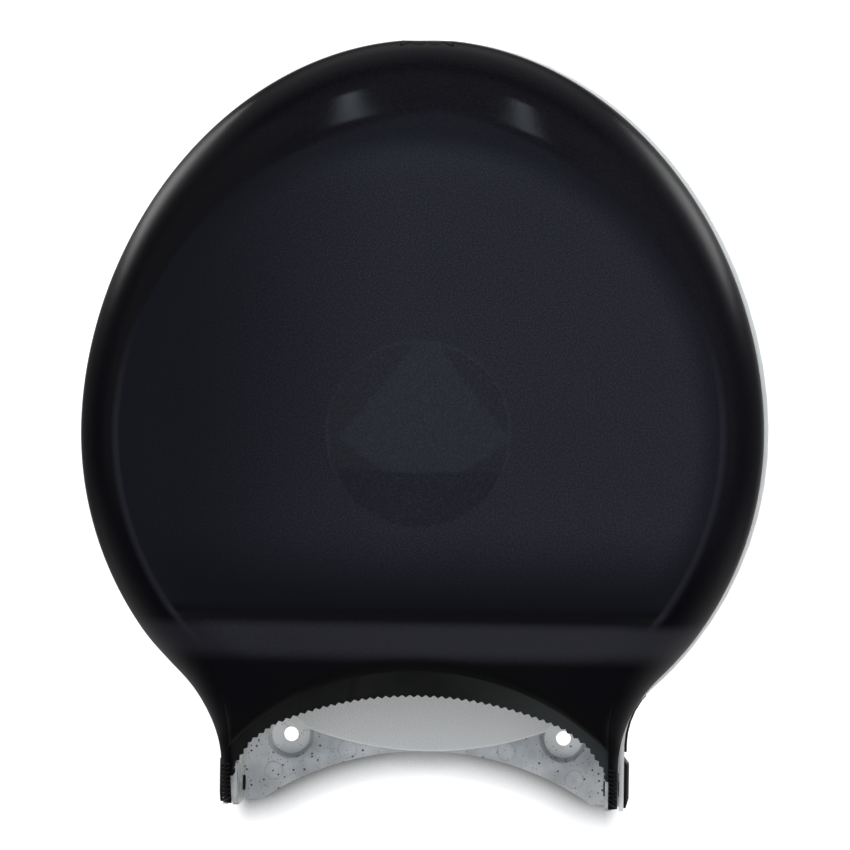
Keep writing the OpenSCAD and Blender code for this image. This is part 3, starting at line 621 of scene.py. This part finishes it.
def speckled_grey():
    """Cloudy grey with fine dark specks, frosted on the platform."""
    g = Finish("speckled_grey")
    x, y, z = g.axes()
    side = g.math("ABSOLUTE", x)
    r = g.radius(x, z, 0, PLATFORM_Z * MM)
    frosted = g.times(g.disc(r, PLATFORM_R - 0.1, PLATFORM_R + 0.1), g.ramp(y, -0.0117, -0.0119))
    clear = g.math("SUBTRACT", 1.0, g.math("MAXIMUM", frosted, g.ramp(y, -0.026, -0.030)))
    fine = g.noise(3000, 3, 0.7)
    base = g.mix(g.ramp(g.noise(55, 4, 0.55), 0.3, 0.7),
                 rgb(0.44, 0.445, 0.45), rgb(0.78, 0.77, 0.755))
    frost = g.mix(g.ramp(fine, 0.42, 0.58), rgb(0.70, 0.68, 0.66), rgb(0.99, 0.97, 0.94))
    color = g.mix(frosted, base, frost)

    # painted light: paler at the platform's edge, the front of the rim, the screws' seats and
    # the legs' sides: painted highlights on the edges, lighter where shade falls on seats and legs
    painted_pale = g.times(g.ramp(r, (PLATFORM_R - 0.8) * MM, (PLATFORM_R - 0.5) * MM), frosted)
    painted_pale = g.math("MAXIMUM", painted_pale, g.ramp(y, -0.030, -0.036))
    for seat_x in (-SCREW_X, SCREW_X):
        seat = g.radius(x, z, seat_x * MM, SCREW_Z * MM)
        painted_pale = g.math("MAXIMUM", painted_pale, g.disc(seat, SEAT_R - 0.3, SEAT_R))
    leg = g.times(g.ramp(side, 0.0728, 0.0734), g.ramp(z, -0.098, -0.104))
    color = g.mix(g.math("MAXIMUM", painted_pale, leg), color, rgb(0.96, 0.95, 0.92))
    color = g.mix(g.times(specks(g), clear, 0.92), color, rgb(0.03, 0.03, 0.035))

    # round marks of the mould's ejector pins
    height = g.times(fine, 0.25)
    for cx, cz in MARKS:
        mark = g.ring(g.radius(x, z, cx * MM, cz * MM),
                      MARK_R - MARK_SOFT, MARK_R, MARK_R, MARK_R + MARK_SOFT)
        height = g.plus(height, mark, -3.0)
        color = g.mix(g.times(mark, clear, 0.35), color, rgb(0.30, 0.31, 0.32))
    g.set(Base_Color=color, Roughness=g.plus(0.22, frosted, 0.4), IOR=1.49)
    g.bump(height, 0.00006, 0.6)
    return g.mat


def metal(name, tint, rough):
    g = Finish(name)
    brushed = g.noise(1.0, 3, 0.6, at=g.scaled((2600, 300, 2600)))
    color = g.mix(g.ramp(brushed, 0.25, 0.75), scaled_rgb(tint, 0.82), rgb(*tint))
    g.set(Base_Color=color, Roughness=g.plus(rough, g.noise(400, 2), 0.14), Metallic=1.0)
    g.bump(brushed, 0.00002, 0.5)
    return g.mat


MATS = {
    "smoke_plastic": smoke_plastic(),
    "speckled_grey": speckled_grey(),
    "black_plastic": black_plastic(),
    "button_plastic": black_plastic("button_plastic", (0.004, 0.004, 0.005), 0.23),
    "hub_plastic": black_plastic("hub_plastic", (0.02, 0.02, 0.022), 0.35),
    "pale_nylon": pale_nylon(),
    "steel": metal("steel", (0.62, 0.62, 0.63), 0.26),
    "spring_steel": metal("spring_steel", (0.52, 0.52, 0.53), 0.2),
}
TEAR_FINISH = tear_plastic()
SLOT_OF = {s["node"]: s["material_slot"] for s in frame["record"]["subparts"]}


# ---- Pieces ----

make_cover(MATS["smoke_plastic"])

ROUNDED = {
    "rear_base": 0.4, "tear_bar": 0.15, "lock_button": 0.3, "latch_arm": 0.3, "latch_carrier": 0.35,
    "striker": 0.35, "spindle_post": 0.4, "roll_hub": 0.35, "hub_retainer": 0.4,
    "hinge_clip_left": 0.2, "hinge_clip_right": 0.2, "edge_strip_left": 0.12,
    "edge_strip_right": 0.12, "cover_ear_left": 0.7, "cover_ear_right": 0.7,
    "ear_screws": 0.2, "carrier_screws": 0.2, "striker_screws": 0.25, "post_screws": 0.15,
    "retainer_screw": 0.25, "drag_washer": 0.15,
}
for node, width in ROUNDED.items():
    finish = TEAR_FINISH if node == "tear_bar" else MATS[SLOT_OF[node]]
    piece = dressed(node, width, finish)


def leg_ribs(name, side):
    """Row of slanted ribs down the front of one of the cover's legs."""
    verts, faces = [], []
    profile = ((0.0, 0.0), (RIB_PITCH * RIB_CREST, RIB_H), (RIB_PITCH * RIB_END, 0.0))
    for k in range(RIB_COUNT):
        base = len(verts)
        for x, drop in ((LEG_INNER_X + RIB_INSET, 0.0), (LEG_X - RIB_INSET, RIB_SLANT)):
            for down, up in profile:
                z = RIB_TOP - k * RIB_PITCH - drop - down
                depth = face_at(z) - LIP_R * roll_share(z)
                verts.append((side * x, -(depth + up - RIB_SINK), z))
        faces += [(base, base + 1, base + 4, base + 3), (base + 1, base + 2, base + 5, base + 4),
                  (base + 2, base, base + 3, base + 5), (base, base + 2, base + 1),
                  (base + 3, base + 4, base + 5)]
    ribs = new_object(name, verts, faces, MATS["button_plastic"])
    bevel(ribs, 0.12, 40)
    shade(ribs, 30)
    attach(ribs, "cover")


leg_ribs("leg_ribs_left", -1)
leg_ribs("leg_ribs_right", 1)


def make_spring():
    """Copy of the latch spring, with a mesh of its own."""
    source = frame["nodes"]["latch_spring"]
    piece = copy_of("latch_spring", MATS["spring_steel"])
    tidy(piece.data)
    shade(piece, 50)
    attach(piece, source["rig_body"])
    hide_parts("latch_spring")
    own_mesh(piece)


make_spring()


# ---- Stage ----

WALL_Y, WALL_X, WALL_TOP = 0.0006, 3, 3
FLOOR_Z, FLOOR_HALF = -1.25, 5
HOLE_SPOT_R, HOLE_SPOT_STEPS, HOLE_SPOT_LIFT = 0.0045, 32, 0.0002
CONTACT, CONTACT_GAMMA = 0.0125, 2.8
MIRRORED = 0.1      # share of the backdrop in glossy surfaces: more hazes the satin edges


def stage_face(name, corners, material):
    mesh = bpy.data.meshes.new(name)
    mesh.from_pydata(corners, [], [tuple(range(len(corners)))])
    obj = add_object(name, mesh, material)


def spot_behind(name, x, z, material):
    """Small round of wall just behind a screw hole, clear of the contact shadow."""
    turns = [2 * math.pi * k / HOLE_SPOT_STEPS for k in range(HOLE_SPOT_STEPS)]
    stage_face(name, [(x + HOLE_SPOT_R * math.cos(a), WALL_Y - HOLE_SPOT_LIFT,
                       z + HOLE_SPOT_R * math.sin(a)) for a in turns], material)


def contact_shade(g):
    """White, darker close to the object, under it and between its legs only."""
    close = g.node("ShaderNodeAmbientOcclusion", samples=8)
    close.inputs["Distance"].default_value = CONTACT
    deep = g.node("ShaderNodeGamma")
    g.join(close.outputs["Color"], deep.inputs["Color"])
    deep.inputs["Gamma"].default_value = CONTACT_GAMMA
    x, y, z = g.axes()
    between = g.ramp(g.math("ABSOLUTE", x), 0.070, 0.079, 1.0, 0.0)
    return g.mix(g.times(g.ramp(z, -0.112, -0.130), between), WHITE, deep.outputs[0])


def backdrop(name, tone, lift, only_front, contact=False):
    """Diffuse surface that keeps shadows. lift is light added for what the camera sees straight
    or through glass, and MIRRORED of it for glossy rays. With only_front the surface itself is
    there for those rays alone, in the same shares and on its front side."""
    mat = bpy.data.materials.new(name)
    mat.use_nodes = True
    g = Graph(mat.node_tree)
    g.tree.nodes.remove(g.tree.nodes["Principled BSDF"])
    rays = g.node("ShaderNodeLightPath").outputs
    seen = g.math("MAXIMUM", rays["Is Camera Ray"], g.times(rays["Is Glossy Ray"], MIRRORED))
    seen = g.math("MAXIMUM", seen, rays["Is Transmission Ray"])
    diffuse = g.node("ShaderNodeBsdfDiffuse")
    glow = g.node("ShaderNodeEmission")
    shaded = contact_shade(g) if contact else WHITE
    g.join(shaded, glow.inputs["Color"])
    g.join(g.scaled((tone, tone, tone), shaded) if contact else rgb(tone, tone, tone),
           diffuse.inputs["Color"])
    g.join(g.times(seen, lift), glow.inputs["Strength"])
    surface = g.node("ShaderNodeAddShader")
    g.join(diffuse.outputs[0], surface.inputs[0])
    g.join(glow.outputs[0], surface.inputs[1])
    if only_front:
        back = g.node("ShaderNodeNewGeometry").outputs["Backfacing"]
        solid, surface = surface, g.node("ShaderNodeMixShader")
        g.join(g.times(seen, g.math("SUBTRACT", 1.0, back)), surface.inputs[0])
        g.join(g.node("ShaderNodeBsdfTransparent").outputs[0], surface.inputs[1])
        g.join(solid.outputs[0], surface.inputs[2])
    g.join(surface.outputs[0], g.tree.nodes["Material Output"].inputs["Surface"])
    return mat


stage_face("wall", [(-WALL_X, WALL_Y, FLOOR_Z), (WALL_X, WALL_Y, FLOOR_Z),
                    (WALL_X, WALL_Y, WALL_TOP), (-WALL_X, WALL_Y, WALL_TOP)],
           backdrop("wall_white", 0.45, 0.85, True, contact=True))
HOLE_WHITE = backdrop("hole_white", 0.9, 1.0, True)
spot_behind("hole_white_left", -SCREW_X * MM, SCREW_Z * MM, HOLE_WHITE)
spot_behind("hole_white_right", SCREW_X * MM, SCREW_Z * MM, HOLE_WHITE)
stage_face("floor", [(-FLOOR_HALF, -FLOOR_HALF, FLOOR_Z), (FLOOR_HALF, -FLOOR_HALF, FLOOR_Z),
                     (FLOOR_HALF, FLOOR_HALF, FLOOR_Z), (-FLOOR_HALF, FLOOR_HALF, FLOOR_Z)],
           backdrop("floor_white", 0.4, 0.55, False))


# ---- Camera ----

def facing(place, aim):
    """Turn that points a camera or lamp from its place at its aim."""
    return (Vector(aim) - Vector(place)).to_track_quat("-Z", "Y")


def add_camera():
    eye = (0.080, -2.200, 0.010)
    aim = (0.000, -0.075, 0.003)
    roll = math.radians(0.85)
    data = bpy.data.cameras.new("camera")
    data.sensor_width = 36.0
    data.lens = 234.8
    cam = bpy.data.objects.new("camera", data)
    bpy.context.scene.collection.objects.link(cam)
    turn = facing(eye, aim).to_matrix().to_4x4()
    cam.matrix_world = Matrix.Translation(eye) @ turn @ Matrix.Rotation(roll, 4, "Z")
    bpy.context.scene.camera = cam


add_camera()


# ---- Light ----

COOL, WARM = (0.80, 0.92, 1.0), (1.0, 0.99, 0.96)


def area(name, place, aim, size, power, tint=(1, 1, 1), roll=0):
    data = bpy.data.lights.new(name, "AREA")
    data.shape = "RECTANGLE"
    data.size, data.size_y = size
    data.energy = power
    data.color = tint
    lamp = bpy.data.objects.new(name, data)
    lamp.location = place
    turn = facing(place, aim)
    lamp.rotation_euler = (turn @ Quaternion((0, 0, 1), math.radians(roll))).to_euler()
    bpy.context.scene.collection.objects.link(lamp)


area("strip_left", (-0.72, -2.0, 2.35), (0, 0, 0.1), (0.14, 1.6), 8.5, COOL, 26)
area("strip_right", (0.72, -2.0, 2.35), (0, 0, 0.1), (0.14, 1.6), 7.5, COOL, -26)
area("key_left", (-2.1, -0.9, 0.9), (0, 0, 0), (3.2, 3.2), 6.5)
area("key_right", (2.1, -0.9, 0.9), (0, 0, 0), (3.2, 3.2), 6.5)
area("low", (0.0, -1.25, -1.35), (0, 0, -0.1), (3.0, 0.7), 23.0, WARM)
area("back_left", (-1.5, 1.5, 1.1), (0, 0, 0), (0.8, 0.8), 9.0)
area("back_right", (1.5, 1.5, 1.1), (0, 0, 0), (0.8, 0.8), 9.0)


def studio():
    """World that is white to the camera. The object sees a plain front with one bluish window
    in it, dim sides, and some light above and straight behind."""
    world = bpy.data.worlds.new("world")
    bpy.context.scene.world = world
    world.use_nodes = True
    g = Graph(world.node_tree, "Generated")
    dx, dy, dz = g.axes()

    # the window has a curved lower edge and a gable on top
    window = g.math("SUBTRACT", dz, g.math("ADD", g.times(dx, dx, 0.96), -0.28))
    gable = g.plus(g.math("ABSOLUTE", dx), dz, 0.8)
    window = g.times(g.ramp(window, -0.015, 0.015), g.ramp(gable, 0.47, 0.51, 1.0, 0.0),
                     g.ramp(dy, -0.3, -0.1, 1.0, 0.0))
    color = g.mix(window, rgb(1.02, 1.0, 0.97), rgb(1.75, 2.05, 2.45))

    lit = g.times(g.ramp(dy, -0.35, 0.05, 0.80, 0.05), g.ramp(dz, -0.6, -0.1, 0.35, 1.0))
    lit = g.plus(lit, g.times(g.ramp(dy, -0.2, 0.3), g.ramp(dz, 0.45, 0.8)), 0.5)
    lit = g.math("ADD", lit, g.ramp(dy, 0.92, 0.98, 0.0, 0.5))

    seen = g.node("ShaderNodeLightPath").outputs["Is Camera Ray"]
    level = g.node("ShaderNodeMix")
    for value, number in ((seen, 0), (lit, 2), (1.0, 3)):
        g.join(value, level.inputs[number])
    background = g.tree.nodes["Background"].inputs
    g.join(g.mix(seen, color, WHITE), background["Color"])
    g.join(level.outputs[0], background["Strength"])


studio()

bpy.context.scene.view_settings.view_transform = "Standard"
